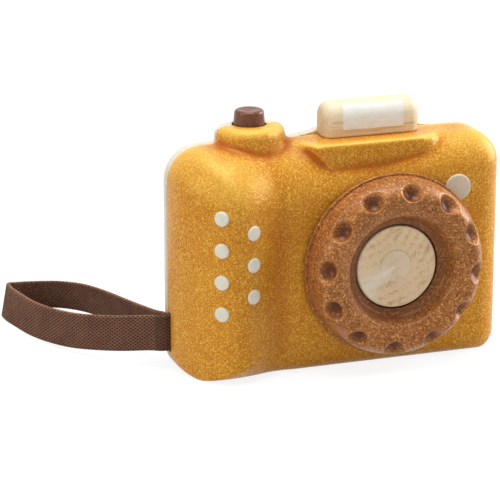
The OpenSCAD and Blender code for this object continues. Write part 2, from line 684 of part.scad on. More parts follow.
front_shell();
rear_shell();
shell_dowels();
for (i = [1:7]) grip_dot(i);
window_disc();
flash_block();
flash_panel();
flash_dowels();
shutter_button();
button_guide();
button_spring();
spring_seat();
lens_ring();
lens_peg();
friction_washer();
strap_pin();
wrist_strap();
eyepiece();
eyepiece_disc();
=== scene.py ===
import math

import bmesh
import bpy
from mathutils import Matrix, Vector


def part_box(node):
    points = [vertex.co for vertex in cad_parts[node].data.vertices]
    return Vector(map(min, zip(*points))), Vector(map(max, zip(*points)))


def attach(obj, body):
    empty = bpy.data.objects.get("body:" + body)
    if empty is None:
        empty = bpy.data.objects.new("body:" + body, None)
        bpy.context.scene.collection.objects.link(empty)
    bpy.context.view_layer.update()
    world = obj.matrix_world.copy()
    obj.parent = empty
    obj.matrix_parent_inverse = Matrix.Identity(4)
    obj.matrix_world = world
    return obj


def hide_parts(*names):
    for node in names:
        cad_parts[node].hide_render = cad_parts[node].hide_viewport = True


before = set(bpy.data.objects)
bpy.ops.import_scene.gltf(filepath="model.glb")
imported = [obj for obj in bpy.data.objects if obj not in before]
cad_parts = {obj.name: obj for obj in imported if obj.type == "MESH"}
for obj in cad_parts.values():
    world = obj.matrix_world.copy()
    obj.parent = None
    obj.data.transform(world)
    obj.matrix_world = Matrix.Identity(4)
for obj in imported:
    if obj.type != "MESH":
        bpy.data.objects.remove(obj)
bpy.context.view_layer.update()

# Studio. The toy stands on a pale table under a large soft lamp, with others at both sides and a
# weak one in front, and a long lens looks at it from its left and a little above.
scene = bpy.context.scene
scene.view_settings.view_transform = "Standard"
MM = 0.001
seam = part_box("rear_shell")[0].y


def at(x, y, z):
    """A point in millimetres, with Y counted from the seam between the two shells."""
    return Vector((x * MM, y * MM + seam, z * MM))


photo_camera = bpy.data.objects.new("photo_camera", bpy.data.cameras.new("photo_camera"))
photo_camera.data.lens = 180
photo_camera.data.clip_end = 10
photo_camera.location = at(-313.2, -811.9, 304.8)
looks_at = at(-29.06, 0, 40.52)
photo_camera.rotation_euler = (looks_at - photo_camera.location).to_track_quat("-Z", "Y").to_euler()
scene.collection.objects.link(photo_camera)
scene.camera = photo_camera


class Signal:
    """A shader socket that adds Math nodes when it is used in an expression."""

    def __init__(self, shading, socket):
        self.shading, self.socket = shading, socket

    def maths(self, operation, *values):
        settings = {"operation": operation}
        return self.shading.node("ShaderNodeMath", settings, dict(enumerate(values)))["Value"]

    def __add__(self, other):
        return self.maths("ADD", self, other)

    def __sub__(self, other):
        return self.maths("SUBTRACT", self, other)

    def __rsub__(self, other):
        return self.maths("SUBTRACT", other, self)

    def __mul__(self, other):
        return self.maths("MULTIPLY", self, other)

    def __truediv__(self, other):
        return self.maths("DIVIDE", self, other)

    def __pow__(self, other):
        return self.maths("POWER", self, other)

    def __gt__(self, other):
        return self.maths("GREATER_THAN", self, other)

    def __lt__(self, other):
        return self.maths("LESS_THAN", self, other)

    def __abs__(self):
        return self.maths("ABSOLUTE", self)

    __radd__, __rmul__ = __add__, __mul__


class Shading:
    """A node tree that is filled node by node."""

    def __init__(self, owner):
        owner.use_nodes = True
        self.owner, self.tree = owner, owner.node_tree

    def node(self, kind, settings=None, sockets=None):
        """Adds a node: its settings are set first, then its sockets' values or links."""
        made = self.tree.nodes.new(kind)
        for key, value in (settings or {}).items():
            setattr(made, key, value)
        self.feed(made, sockets or {})
        return {socket.name: Signal(self, socket) for socket in made.outputs if socket.enabled}

    def feed(self, made, sockets):
        """Sets a node's sockets, by name or number, to values or links."""
        usable = {socket.name: socket for socket in made.inputs if socket.enabled}
        for key, value in sockets.items():
            socket = made.inputs[key] if isinstance(key, int) else usable[key]
            if isinstance(value, Signal):
                self.tree.links.new(value.socket, socket)
            else:
                socket.default_value = value

    def mix(self, share, first, second):
        """One colour where share is 0, the other where it is 1."""
        settings = {"data_type": "RGBA", "clamp_factor": True}
        return self.node("ShaderNodeMix", settings, {"Factor": share, "A": first, "B": second})["Result"]

    def noise(self, place, scale, detail, roughness=0.5):
        """Soft random mottling, from 0 to 1 and mostly near 0.5."""
        sockets = {"Vector": place, "Scale": scale, "Detail": detail, "Roughness": roughness}
        return self.node("ShaderNodeTexNoise", {}, sockets)["Fac"]

    def bump(self, height, distance, strength):
        """A normal that is raised by a height of 0 to 1 over that distance, in millimetres."""
        sockets = {"Height": height, "Distance": distance * MM, "Strength": strength}
        return self.node("ShaderNodeBump", {}, sockets)["Normal"]

    def surface(self, sockets):
        """Sets the values and links of the material's own surface shader."""
        self.feed(self.tree.nodes["Principled BSDF"], sockets)


def colour(*levels):
    """A colour as a paint chart gives it, red, green and blue from 0 to 255, in linear values."""
    return [(c / 255 / 12.92 if c < 11 else ((c / 255 + 0.055) / 1.055) ** 2.4) for c in levels] + [1]


def seen_directly(shading):
    """1 for rays from the camera and from mirror-like or clear surfaces, which see the white set."""
    path = shading.node("ShaderNodeLightPath")
    direct = path["Is Camera Ray"] + path["Is Glossy Ray"] + path["Is Transmission Ray"]
    return direct.maths("MINIMUM", direct, 1)


scene.world = bpy.data.worlds.new("studio")
sky = Shading(scene.world)
room_light = 0.13
sky_level = room_light + (1 - room_light) * seen_directly(sky)
sky.feed(sky.tree.nodes["Background"], {"Color": (1, 1, 1, 1), "Strength": sky_level})


def soft_lamp(name, place, aim, side, watts):
    """A square softbox of that side, in metres, that faces its aim."""
    lamp = bpy.data.lights.new(name, "AREA")
    lamp.size, lamp.energy = side, watts
    stand = bpy.data.objects.new(name, lamp)
    stand.location = place
    stand.rotation_euler = (aim - place).to_track_quat("-Z", "Y").to_euler()
    scene.collection.objects.link(stand)


lens_x, lens_z, front_deep = 16.5, 37.8, 22
lens_middle = at(lens_x, -front_deep, lens_z)
soft_lamp("overhead_softbox", at(-40, 0, 900), lens_middle, 0.6, 7.2)
soft_lamp("left_softbox", at(-800, -150, 350), lens_middle, 0.5, 2.7)
soft_lamp("right_softbox", at(800, 0, 350), lens_middle, 0.6, 7.8)
soft_lamp("front_fill", at(-300, -1000, 450), lens_middle, 0.8, 0.9)

table_half, table_drop = 3, 0.02 * MM
table = bmesh.new()
bmesh.ops.create_grid(table, x_segments=1, y_segments=1, size=table_half)
bmesh.ops.translate(table, verts=table.verts, vec=(0, 0, -table_drop))
table_mesh = bpy.data.meshes.new("table")
table.to_mesh(table_mesh)
table_top = bpy.data.objects.new("table", table_mesh)
scene.collection.objects.link(table_top)
paper = Shading(bpy.data.materials.new("white_paper"))
table_mesh.materials.append(paper.owner)
bare = paper.node("ShaderNodeBsdfDiffuse", {}, {"Color": (0.7, 0.7, 0.7, 1)})["BSDF"]
shade_only = paper.node("ShaderNodeBsdfDiffuse", {}, {"Color": (0.2, 0.2, 0.2, 1)})["BSDF"]
lit_white = paper.node("ShaderNodeEmission", {}, {"Color": (1, 1, 1, 1), "Strength": 0.86})["Emission"]
white_set = paper.node("ShaderNodeAddShader", {}, {0: shade_only, 1: lit_white})["Shader"]
paper_face = paper.node("ShaderNodeMixShader", {}, {0: seen_directly(paper), 1: bare, 2: white_set})["Shader"]
paper.feed(paper.tree.nodes["Material Output"], {"Surface": paper_face})

# Wrist strap: half-inch tape, woven with a small diamond, dyed brown. Both ends go through
# the slot at the seam to a pin inside, and the loop falls behind the body onto the table.
strap_wide, strap_thick = 13.5, 1.6
strap_line = [(-53.7, -2.933, 7, 0), (-60.5, -2.933, 7, 0), (-63.3, -2.4, 6.8, 0), (-67.1, 2, 6, 0),
              (-74.5, 9, 4.3, 0.2), (-82, 17.2, 2.8, 0.3), (-88.5, 26, 1.5, 0.4), (-94, 36.6, 0.6, 0.6),
              (-98.5, 48.2, 0.2, 1), (-101.2, 60, 0.1, 1.4), (-102.9, 69, 0.1, 1.8), (-102.5, 75.5, 0.1, 2.6),
              (-98, 78.6, 0.1, 4), (-91.5, 80, 0.1, 5), (-85.1, 79, 0.1, 5.2), (-78.1, 73.6, 0.6, 5),
              (-71.7, 62, 1.6, 4.2), (-68.3, 44.5, 3, 2.8), (-65.7, 24.5, 4.5, 1.4), (-63.4, 7.5, 6.2, 0.4),
              (-62.1, 1.6, 7, 0), (-60.5, -1.067, 7, 0), (-53.7, -1.067, 7, 0)]


def smooth_line(points, steps):
    """Points on the smooth curve that runs through all of these."""
    line = []
    ends = [points[0]] + points + [points[-1]]
    for p, q, r, s in zip(ends, ends[1:], ends[2:], ends[3:]):
        for k in range(steps):
            t = k / steps
            line.append((2 * q + (r - p) * t + (2 * p - 5 * q + 4 * r - s) * t ** 2
                         + (3 * q - p - 3 * r + s) * t ** 3) / 2)
    return line + [points[-1]]


def set_piece(name, bm, shading, body, slot, *nodes):
    """Sets a mesh drawn in millimetres from the seam into the frame, on a body, in place of these nodes."""
    sharpest_smooth = math.radians(35)
    bmesh.ops.transform(bm, matrix=Matrix.Translation((0, seam, 0)) @ Matrix.Scale(MM, 4), verts=bm.verts)
    mesh = bpy.data.meshes.new(name)
    bm.to_mesh(mesh)
    bm.free()
    mesh.shade_smooth()
    mesh.set_sharp_from_angle(angle=sharpest_smooth)
    mesh.materials.append(shading.owner)
    piece = bpy.data.objects.new(name, mesh)
    scene.collection.objects.link(piece)
    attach(piece, body)
    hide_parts(*nodes)
    return piece


strap_foot = smooth_line([Vector(point) for point in strap_line], 8)
edge_round, edge_steps, face_steps = 0.55, 4, 14
strap_section = []
for side in (1, -1):
    for k in range(face_steps + 1):
        up = k / face_steps if side > 0 else 1 - k / face_steps
        strap_section.append((side * strap_thick / 2, edge_round + (strap_wide - 2 * edge_round) * up))
    for k in range(1, edge_steps):
        turn = math.pi * k / edge_steps
        edge = strap_wide / 2 - edge_round + edge_round * math.sin(turn)
        strap_section.append((side * strap_thick / 2 * math.cos(turn), strap_wide / 2 + side * edge))

strap = bmesh.new()
tape_uv = strap.loops.layers.uv.new("tape")
strap_rows, strap_run, strap_middle, run = [], [], [], 0
for k, foot in enumerate(strap_foot):
    ahead = strap_foot[min(k + 1, len(strap_foot) - 1)] - strap_foot[max(k - 1, 0)]
    outward = Vector((ahead.y, -ahead.x, 0)).normalized()
    upward = (outward * foot.w + Vector((0, 0, math.sqrt(strap_wide ** 2 - foot.w ** 2)))) / strap_wide
    strap_rows.append([strap.verts.new(foot.xyz + outward * out + upward * up) for out, up in strap_section])
    run += (foot - strap_foot[max(k - 1, 0)]).xyz.length
    strap_run.append(run)
    strap_middle.append(at(*(foot.xyz + upward * strap_wide / 2)))
for k, (row, following) in enumerate(zip(strap_rows, strap_rows[1:])):
    for j in range(len(row)):
        n = (j + 1) % len(row)
        panel = strap.faces.new((row[j], row[n], following[n], following[j]))
        for loop, (i, m) in zip(panel.loops, ((k, j), (k, n), (k + 1, n), (k + 1, j))):
            loop[tape_uv].uv = (strap_run[i], strap_section[m][1])
for row in (strap_rows[0], strap_rows[-1]):
    strap.faces.new(row)
bmesh.ops.recalc_face_normals(strap, faces=strap.faces)

tape = Shading(bpy.data.materials.new("woven_tape"))
on_tape = tape.node("ShaderNodeUVMap", {"uv_map": "tape"})["UV"]
tape_place = tape.node("ShaderNodeSeparateXYZ", {}, {"Vector": on_tape})
along_pitch, across_pitch, selvedge, shaded_end = 1.9, 1.25, 0.7, 12
along = tape_place["X"] * (2 * math.pi / along_pitch)
across = tape_place["Y"] * (2 * math.pi / across_pitch)
rising, falling = along + across, along - across
warp, weft = rising.maths("SINE", rising), falling.maths("SINE", falling)
thread = warp.maths("MAXIMUM", warp, weft)
fibre, wear = tape.noise(on_tape, 2.4, 3), tape.noise(on_tape, 0.12, 2)
from_middle = abs(tape_place["Y"] - strap_wide / 2)
edge_thread = (from_middle - (strap_wide / 2 - selvedge)) * 1.4
tape_dark, tape_mid, tape_light = colour(68, 40, 30), colour(122, 82, 61), colour(194, 145, 112)
thread_side = (thread + 0.55) * 0.75 + (fibre - 0.5) * 1.2 + (wear - 0.5) * 0.7
thread_crown = (thread - 0.75) * 1.6 + (fibre - 0.62) * 1.2 + (wear - 0.55) * 0.8
tape_colour = tape.mix(thread_side, tape_dark, tape_mid)
tape_colour = tape.mix(thread_crown, tape_colour, tape_light)
tape_colour = tape.mix(edge_thread * 0.25, tape_colour, tape_light)
tape_colour = tape.mix((tape_place["X"] < shaded_end) * 0.5, tape_colour, tape_dark)
tape.surface({"Base Color": tape_colour, "Roughness": 0.75 + fibre * 0.2, "Specular IOR Level": 0.25,
              "Normal": tape.bump(thread + fibre * 0.6, 0.35, 0.9)})

strap_piece = set_piece("wrist_strap_tape", strap, tape, "camera_body", "woven_tape", "wrist_strap")
strap_exit = at(-60.5, -2, 7 + strap_wide / 2)

# Front shell: hollow half of the body, pressed from dyed wood fibre and satin lacquered. It
# swells into a grip at the left, has a boss for the button, and a hood under the flash.
body_wide, body_high, base_trim = 121, 81.5, 0.3
corner_top_left, corner_top_right, corner_base, core_corner = 13, 10.5, 7, 3
grip_rise, grip_x, grip_half = 7, -42.9, 20
left_round, right_round, top_rounds, base_rounds, top_fade = 19, 9, (20, 12), (5.5, 9), 10
button_x, boss_wide, boss_high, boss_foot = -29.4, 25.6, 6, 71.5
boss_round, boss_drop, boss_blend = 3.6, 3.2, (11, 21)
bore_wide, bore_foot, bore_top = 12.5, 70, 95
hood_wide, hood_back_wide, hood_front, hood_high, hood_skew, hood_spread = 39, 56, 18.5, 12, 5, (8, 3)
hood_top, hood_blends, hood_blend_foot = body_high + 0.2, ((-26, -8), (30, 46)), 66
slot_left, slot_right, slot_deep, slot_foot, slot_top = -62.5, -54.5, 4, 6.4, 21.1
overrun, seam_strip = 1, 2


def swell(x):
    """Height of the grip at that place across the body, as a share of its crest."""
    return (1 + math.cos(math.pi * (x - grip_x) / grip_half)) / 2 if abs(x - grip_x) < grip_half else 0


def ease(share):
    """A share that sets off and arrives gently."""
    return (1 - math.cos(math.pi * min(1, max(0, share)))) / 2


def half_body(deep, rise, left_round, right_round, top_rounds, base_rounds):
    """A closed half of the body from the seam forwards, with its edge rounded all the way round."""
    wide, low, high = body_wide / 2, -base_trim, body_high
    fade_from, fade_to = lens_x - top_fade, wide - right_round - core_corner
    corners = {(-1, -1): corner_base, (1, -1): corner_base,
               (1, 1): corner_top_right, (-1, 1): corner_top_left}
    arc_steps, side_steps, rim_steps, slices = 14, 48, 14, 40

    def top_round(x):
        return top_rounds[0] + (top_rounds[1] - top_rounds[0]) * ease((x - fade_from) / (fade_to - fade_from))

    def base_round(x):
        return base_rounds[0] + (base_rounds[1] - base_rounds[0]) * swell(x)

    def core_point(x, z):
        """The point that a point of the outline is rounded towards, and how deep the rounding is."""
        right, up = (1 if x > 0 else -1), (1 if z > high / 2 else -1)
        corner, side_round = corners[right, up], right_round if right > 0 else left_round
        edge_x, edge_z = right * wide, high if up > 0 else low
        arc = Vector((right * (x - edge_x) + corner, up * (z - edge_z) + corner))
        end_round = top_round(x) if up > 0 else base_round(x)
        if arc.x > 0 and arc.y > 0:
            lean = arc.normalized()
            return (edge_x - right * (side_round + core_corner * (1 - lean.x)),
                    edge_z - up * (end_round + core_corner * (1 - lean.y)),
                    math.hypot(side_round * lean.x, end_round * lean.y))
        if arc.y > 0:
            first, last = corners[-1, up] - wide, wide - corners[1, up]
            core_first, core_last = left_round + core_corner - wide, wide - right_round - core_corner
            share = (x - first) / (last - first)
            return core_first + (core_last - core_first) * share, edge_z - up * end_round, end_round
        first, last = low + corners[right, -1], high - corners[right, 1]
        core_first, core_last = low + base_round(x) + core_corner, high - top_round(x) - core_corner
        share = (z - first) / (last - first)
        return edge_x - right * side_round, core_first + (core_last - core_first) * share, side_round

    bm = bmesh.new()
    outline = [bm.verts.new((right * wide, 0, high if up > 0 else low)) for right, up in corners]
    bm.faces.new(outline)
    for corner, radius in zip(outline, corners.values()):
        bmesh.ops.bevel(bm, geom=[corner], offset=radius, offset_type="OFFSET", affect="VERTICES",
                        segments=arc_steps, profile=0.5, material=-1)
    straight = [edge for edge in bm.edges if edge.calc_length() > corner_base]
    bmesh.ops.subdivide_edges(bm, edges=straight, cuts=side_steps - 1)
    rounding = {vert: (vert.co.x, vert.co.z) + core_point(vert.co.x, vert.co.z) for vert in bm.verts}
    rim = list(bm.edges)
    for k in range(rim_steps + 1):
        turn = math.pi / 2 * k / rim_steps
        made = bmesh.ops.extrude_edge_only(bm, edges=rim)["geom"]
        rim = [part for part in made if isinstance(part, bmesh.types.BMEdge)]
        following = {}
        for vert in [part for part in made if isinstance(part, bmesh.types.BMVert)]:
            neighbours = [edge.other_vert(vert) for edge in vert.link_edges]
            behind = next(other for other in neighbours if other in rounding)
            x, z, core_x, core_z, depth = following[vert] = rounding[behind]
            vert.co = (core_x + (x - core_x) * math.cos(turn), depth * (1 - math.sin(turn)) - deep,
                       core_z + (z - core_z) * math.cos(turn))
        rounding = following
    bmesh.ops.contextual_create(bm, geom=rim)
    for k in range(1, slices):
        slice_x = grip_x + grip_half * (2 * k / slices - 1)
        bmesh.ops.bisect_plane(bm, geom=bm.verts[:] + bm.edges[:] + bm.faces[:], dist=1e-4,
                               plane_co=(slice_x, 0, 0), plane_no=(1, 0, 0))
    for vert in bm.verts:
        vert.co.y *= 1 + rise / deep * swell(vert.co.x)
    bmesh.ops.recalc_face_normals(bm, faces=bm.faces)
    return bm


def turned(profile, place=(0, 0, 0), facing=(0, 0, 1), steps=96):
    """A turned shape: a profile of radius and height from the axis, spun round it and set in place."""
    bm = bmesh.new()
    line = [bm.verts.new((radius, 0, height)) for radius, height in profile]
    edges = [bm.edges.new(pair) for pair in zip(line, line[1:])]
    bmesh.ops.spin(bm, geom=line + edges, cent=(0, 0, 0), axis=(0, 0, 1), angle=2 * math.pi, steps=steps,
                   use_merge=True)
    bmesh.ops.remove_doubles(bm, verts=bm.verts, dist=1e-4)
    bmesh.ops.recalc_face_normals(bm, faces=bm.faces)
    turn = Vector((0, 0, 1)).rotation_difference(Vector(facing)).to_matrix().to_4x4()
    bmesh.ops.transform(bm, matrix=Matrix.Translation(place) @ turn, verts=bm.verts)
    return bm


def quarter(start, end, steps, hollow=False):
    """A quarter round of a turned profile, from one point of radius and height to the next."""
    turns = [math.pi / 2 * k / steps for k in range(steps + 1)]
    if hollow:
        return [(start[0] + (end[0] - start[0]) * math.sin(t), end[1] + (start[1] - end[1]) * math.cos(t))
                for t in turns]
    return [(end[0] + (start[0] - end[0]) * math.cos(t), start[1] + (end[1] - start[1]) * math.sin(t))
            for t in turns]


def cut_flat(bm, place, keep):
    """Saws a closed shape through at a place, keeps the side that keep points to, and closes it flat."""
    made = bmesh.ops.bisect_plane(bm, geom=bm.verts[:] + bm.edges[:] + bm.faces[:], dist=1e-4, plane_co=place,
                                  plane_no=keep, clear_inner=True)["geom_cut"]
    bmesh.ops.holes_fill(bm, edges=[part for part in made if isinstance(part, bmesh.types.BMEdge)])
    return bm


def boss(keep, depth):
    """Half of the collar round the button, on one side of the seam, as deep as that share of its width."""
    rim, top = boss_wide / 2, body_high + boss_high
    edge = quarter((rim, top - boss_drop), (rim - boss_round, top), 14)
    shape = turned([(0, boss_foot), (rim, boss_foot)] + edge + [(0, top)], (button_x, 0, 0))
    bmesh.ops.scale(shape, vec=(1, depth, 1), verts=shape.verts)
    return cut_flat(shape, (0, 0, 0), keep)


def prism(outline, foot, top, spread=(0, 0)):
    """An upright block on that outline of X and Y, whose left and right sides lean out to the top."""
    bm = bmesh.new()
    face = bm.faces.new([bm.verts.new((x, y, foot)) for x, y in outline])
    lifted = bmesh.ops.extrude_face_region(bm, geom=[face])["geom"]
    middle = sum(x for x, _ in outline) / len(outline)
    for vert in [part for part in lifted if isinstance(part, bmesh.types.BMVert)]:
        vert.co += Vector((spread[1] if vert.co.x > middle else -spread[0], 0, top - foot))
    bmesh.ops.recalc_face_normals(bm, faces=bm.faces)
    return bm


def loose_object(bm):
    """A mesh as an object of its own, for as long as its modifiers need it."""
    mesh = bpy.data.meshes.new("blank")
    bm.to_mesh(mesh)
    bm.free()
    blank = bpy.data.objects.new("blank", mesh)
    scene.collection.objects.link(blank)
    return blank


def worked(blank, others=()):
    """The mesh that an object's modifiers leave, with the object and its cutters cleared away."""
    bm = bmesh.new()
    bm.from_object(blank, bpy.context.evaluated_depsgraph_get())
    for used in (blank, *others):
        mesh = used.data
        bpy.data.objects.remove(used)
        bpy.data.meshes.remove(mesh)
    return bm


def soften(skin, verts, passes):
    """Draws a skin smooth there, a little with each pass."""
    for _ in range(passes):
        bmesh.ops.smooth_vert(skin, verts=verts, factor=0.5, use_axis_x=True, use_axis_y=True,
                              use_axis_z=True)


def mark_shade_and_highlight(skin, passes, full_depth):
    """Notes a skin's hollows, up to 1, and its upward rounds, down to -1, by how it moves if drawn smooth, as
    the places for painted shade and a painted highlight.
    """
    hollow = skin.verts.layers.float.new("hollow")
    skin.normal_update()
    places = [(vert.co.copy(), vert.normal.copy()) for vert in skin.verts]
    soften(skin, skin.verts[:], passes)
    for vert, (place, normal) in zip(skin.verts, places):
        rise = (vert.co - place).dot(normal) / full_depth
        vert[hollow] = min(1, rise) if rise > 0 else max(-1, rise) * max(0, normal.z)
        vert.co = place


def pressed(blanks, soft_zones, cutters):
    """Melts overlapping blanks into one skin, draws its soft zones round and cuts its openings."""
    whole = bmesh.new()
    for blank in blanks:
        part = loose_object(blank)
        whole.from_mesh(part.data)
        bpy.data.objects.remove(part)
    lump = loose_object(whole)
    melt = lump.modifiers.new("melt", "REMESH")
    melt.mode, melt.voxel_size = "VOXEL", 0.55
    skin = worked(lump)
    near_seam = 0.5
    for passes, inside in [(3, lambda place: True)] + soft_zones:
        soften(skin, [v for v in skin.verts if abs(v.co.y) > near_seam and inside(v.co)], passes)
    # Hollows are marked for painted shade, upward rounds for a painted highlight.
    mark_shade_and_highlight(skin, 90, 0.42)
    skin.normal_update()
    seam_edge, seam_groove = 0.4, 0.3
    for vert in skin.verts:
        outward = Vector((vert.normal.x, 0, vert.normal.z))
        if abs(vert.co.y) < seam_edge and outward.length > 0.5:
            vert.co -= outward.normalized() * seam_groove
    lump = loose_object(cut_flat(skin, (0, 0, 0), (0, 0, 1)))
    tools = [loose_object(shape) for shape in cutters]
    for tool in tools:
        cut = lump.modifiers.new("cut", "BOOLEAN")
        cut.operation, cut.solver, cut.object = "DIFFERENCE", "MANIFOLD", tool
    return worked(lump, tools)


def near_boss(place):
    """The foot of the boss, where it runs into the top of the body."""
    from_axis = math.hypot(place.x - button_x, place.y)
    return boss_blend[0] < from_axis < boss_blend[1] and place.z < body_high + 1


def beside_hood(place):
    """The two sides of the hood, where it dies away into the shoulders."""
    beside = any(first < place.x < last for first, last in hood_blends)
    return beside and place.y < -seam_strip and place.z > hood_blend_foot


def bore():
    """A drill through the boss, for the button."""
    radius = bore_wide / 2
    return turned([(0, bore_foot), (radius, bore_foot), (radius, bore_top), (0, bore_top)], (button_x, 0, 0))


strap_slot = prism([(slot_left, -slot_deep), (slot_right, -slot_deep), (slot_right, overrun),
                    (slot_left, overrun)], slot_foot, slot_top)
hood = prism([(lens_x - hood_back_wide / 2, -overrun), (lens_x - hood_wide / 2, -hood_front),
              (lens_x + hood_wide / 2 - hood_skew, -hood_front), (lens_x + hood_back_wide / 2, -overrun)],
             body_high - hood_high, hood_top, hood_spread)
front = half_body(front_deep, grip_rise, left_round, right_round, top_rounds, base_rounds)
front = pressed([front, boss((0, -1, 0), 1), hood], [(28, near_boss), (30, beside_hood)],
                [bore(), strap_slot])


def composite(name, body, deep, pale_and_highlight, glint, chip_size, contrast, gloss, painted_shade_share=0.7):
    """Pressed wood fibre: cloudy and full of fine chips, with painted shade in its hollows and a painted
    highlight on its upward rounds.
    """
    fibre = Shading(bpy.data.materials.new(name))
    here = fibre.node("ShaderNodeTexCoord")["Object"]
    cloud, grain = fibre.noise(here, 90, 3), fibre.noise(here, 1500, 3)
    chips = fibre.node("ShaderNodeTexVoronoi", {}, {"Vector": here, "Scale": 1 / (chip_size * MM)})
    pick = fibre.node("ShaderNodeSeparateColor", {}, {"Color": chips["Color"]})["Red"]
    chip = (0.8 - chips["Distance"]) * 2 * contrast
    face = fibre.mix((cloud - 0.5) * 0.8 + (grain - 0.5) * 1.6 + 0.5, fibre.mix(0.3, body, deep),
                     fibre.mix(0.3, body, pale_and_highlight))
    face = fibre.mix((pick < 0.34) * chip, face, deep)
    face = fibre.mix((pick > 0.8) * chip, face, pale_and_highlight)
    hollow = fibre.node("ShaderNodeAttribute", {"attribute_name": "hollow"})["Fac"]
    # Painted shade: the marked hollows are mixed towards the deep colour. Painted highlight: the upward
    # rounds are mixed towards the pale one.
    face = fibre.mix(hollow * painted_shade_share, face, deep)
    face = fibre.mix(hollow * -0.6, face, pale_and_highlight)
    fibre.surface({"Base Color": face, "Roughness": 0.27 + grain * 0.16, "Specular IOR Level": 0.45,
                   "Specular Tint": glint, "Coat Weight": gloss, "Coat Roughness": 0.14,
                   "Normal": fibre.bump(grain + chips["Distance"] * 0.5, 0.08, 0.3)})
    return fibre


yellow = composite("yellow_composite", colour(207, 129, 18), colour(170, 72, 20), colour(250, 212, 100),
                   colour(255, 238, 134), 0.4, 0.68, 0, 0.85)
set_piece("front_shell_skin", front, yellow, "camera_body", "yellow_composite", "front_shell")

# Rear shell: the other half of the body, pressed from undyed cream fibre. It is shallower and
# evenly rounded, and is glued to the front shell at the seam over four dowels.
rear_deep, rear_round, boss_behind = 13, 12, 0.65
hump_middle, hump_half, hump_high, hump_from, hump_over = 14.2, 30, 5, 45, 25
notch_half, notch_deep, notch_corner, notch_high = 18.2, 2.1, 2.4, 10
rear = half_body(rear_deep, 0, rear_round, rear_round, (rear_round, rear_round), (rear_round, rear_round))
bmesh.ops.scale(rear, vec=(1, -1, 1), verts=rear.verts)
for vert in rear.verts:
    from_middle = min(1, abs(vert.co.x - hump_middle) / hump_half)
    vert.co.z += hump_high * ease(1 - from_middle) * ease((vert.co.z - hump_from) / hump_over)
bmesh.ops.recalc_face_normals(rear, faces=rear.faces)
notch_left, notch_right = hump_middle - notch_half, hump_middle + notch_half
flash_notch = prism([(notch_left, -overrun), (notch_right, -overrun),
                     (notch_right, notch_deep - notch_corner), (notch_right - notch_corner, notch_deep),
                     (notch_left + notch_corner, notch_deep), (notch_left, notch_deep - notch_corner)],
                    hood_top, body_high + notch_high)
rear = pressed([rear, boss((0, 1, 0), boss_behind)], [(9, near_boss)], [bore(), flash_notch])
cream = composite("cream_composite", colour(216, 205, 182), colour(196, 178, 148), colour(232, 224, 208),
                  colour(255, 250, 235), 0.4, 0.4, 0.03)
set_piece("rear_shell_skin", rear, cream, "camera_body", "cream_composite", "rear_shell")

# Grip dots: seven pale pegs of painted wood in two columns, glued into holes in the grip. Each
# stands a little proud, square to the swell, with its edge rubbed round.
dot_wide, dot_proud, dot_edge, dot_crown, dot_deep = 5.4, 0.7, 0.6, 0.05, 4
dot_pitch, dot_spread, dot_middle = 11.6, 11.2, 43.8


def painted(name, face_colour, worn_colour):
    """Brushed paint on wood: faint brush lines and a slightly uneven, chalky face."""
    paint = Shading(bpy.data.materials.new(name))
    here = paint.node("ShaderNodeTexCoord")["Object"]
    brush = paint.node("ShaderNodeMapping", {}, {"Vector": here, "Scale": (250, 900, 2600)})["Vector"]
    lines, chalk = paint.noise(brush, 1, 2), paint.noise(here, 420, 3)
    face = paint.mix((lines - 0.35) * 0.5 + (chalk - 0.45) * 1.2, face_colour, worn_colour)
    paint.surface({"Base Color": face, "Roughness": 0.45 + chalk * 0.15,
                   "Normal": paint.bump(lines + chalk, 0.05, 0.3)})
    return paint


def face_at(x):
    """Depth of the front face at that place across the body, with the rounding of its left side."""
    inwards = max(0, left_round - body_wide / 2 - x)
    flat = front_deep - left_round + math.sqrt(left_round ** 2 - inwards ** 2)
    return flat * (1 + grip_rise / front_deep * swell(x))


dot_paint = painted("white_paint", colour(226, 222, 205), colour(204, 196, 176))
dot_places = [(-1, 1.5), (-1, 0.5), (-1, -0.5), (-1, -1.5), (1, 1), (1, 0), (1, -1)]
for number, (column, row) in enumerate(dot_places, 1):
    x, beside = grip_x + column * dot_spread / 2, 0.2
    slope = (face_at(x + beside) - face_at(x - beside)) / (2 * beside)
    dot_rim = quarter((dot_wide / 2, dot_proud - dot_edge), (dot_wide / 2 - dot_edge, dot_proud), 5)
    dot = turned([(0, -dot_deep), (dot_wide / 2, -dot_deep)] + dot_rim + [(0, dot_proud + dot_crown)],
                 (x, -face_at(x), dot_middle + row * dot_pitch), (-slope, -1, 0), 64)
    set_piece(f"grip_dot_{number}_peg", dot, dot_paint, "camera_body", "white_paint", f"grip_dot_{number}")

# Viewfinder window: a grey-white painted peg with a flat face, glued into the front shell beside
# the lens and standing just proud of it.
window_wide, window_proud, window_edge, window_deep, window_x, window_z = 9.8, 1.1, 0.7, 3.5, 42, 63.3
window_rim = quarter((window_wide / 2, window_proud - window_edge),
                     (window_wide / 2 - window_edge, window_proud), 5)
window = turned([(0, -window_deep), (window_wide / 2, -window_deep)] + window_rim + [(0, window_proud)],
                (window_x, -front_deep, window_z), (0, -1, 0), 96)
window_paint = painted("grey_paint", colour(208, 195, 170), colour(188, 173, 146))
set_piece("window_peg", window, window_paint, "camera_body", "grey_paint", "window_disc")

# Flash block: a loaf of pale maple with a rounded top and ends, glued over two dowels to the
# flat top of the front shell.
flash_wide, flash_deep, flash_high, flash_round, flash_end, flash_edge = 36.6, 11.5, 12.6, 5.6, 3.6, 0.9
flash_x, flash_middle, flash_foot = hump_middle, -3.75, hood_top


